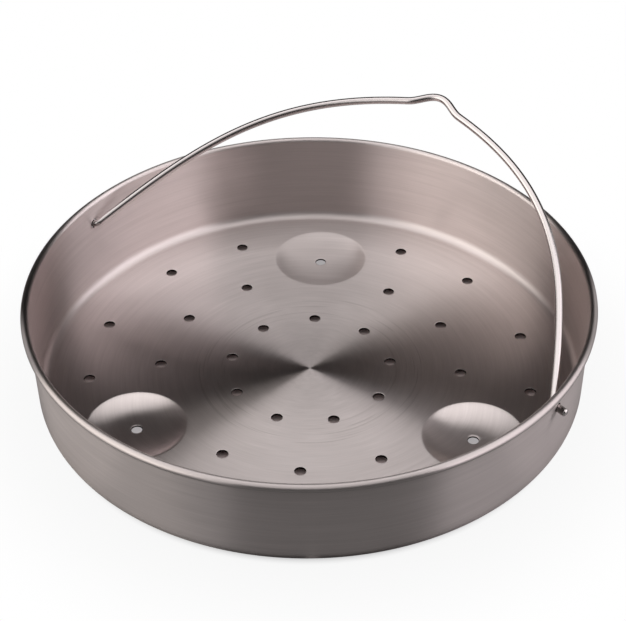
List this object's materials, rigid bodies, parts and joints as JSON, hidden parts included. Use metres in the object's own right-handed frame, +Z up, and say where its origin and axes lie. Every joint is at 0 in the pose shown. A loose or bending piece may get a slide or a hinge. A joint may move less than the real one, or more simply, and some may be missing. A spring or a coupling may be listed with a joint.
{
  "type": "steamer insert",
  "caption": "Shallow perforated steel steamer insert that stands on dimpled feet inside a pot, with a rolled lip and a swinging wire bail to lift it out.",
  "frame": {"origin": "on the pan's axis, level with the flat undersides of the three feet", "axes": "+Z up along the pan's axis; +X along the bail's pivot line, over one of the feet; the bail leans towards +Y"},
  "size_m": [0.2232, 0.22, 0.079],
  "materials": {
    "pan_steel": "brushed in rings round the axis",
    "bail_steel": "bright drawn wire"
  },
  "bodies": {
    "pan": {"steamer_pan": "pan_steel"},
    "bail": {"bail_handle": "bail_steel"}
  },
  "joints": [
    {"name": "bail_swing", "type": "hinge", "parent": "pan", "child": "bail", "pos_m": [0, 0, 0.03275], "axis": [1, 0, 0], "range_deg": [-18.9, 149.5]}
  ]
}
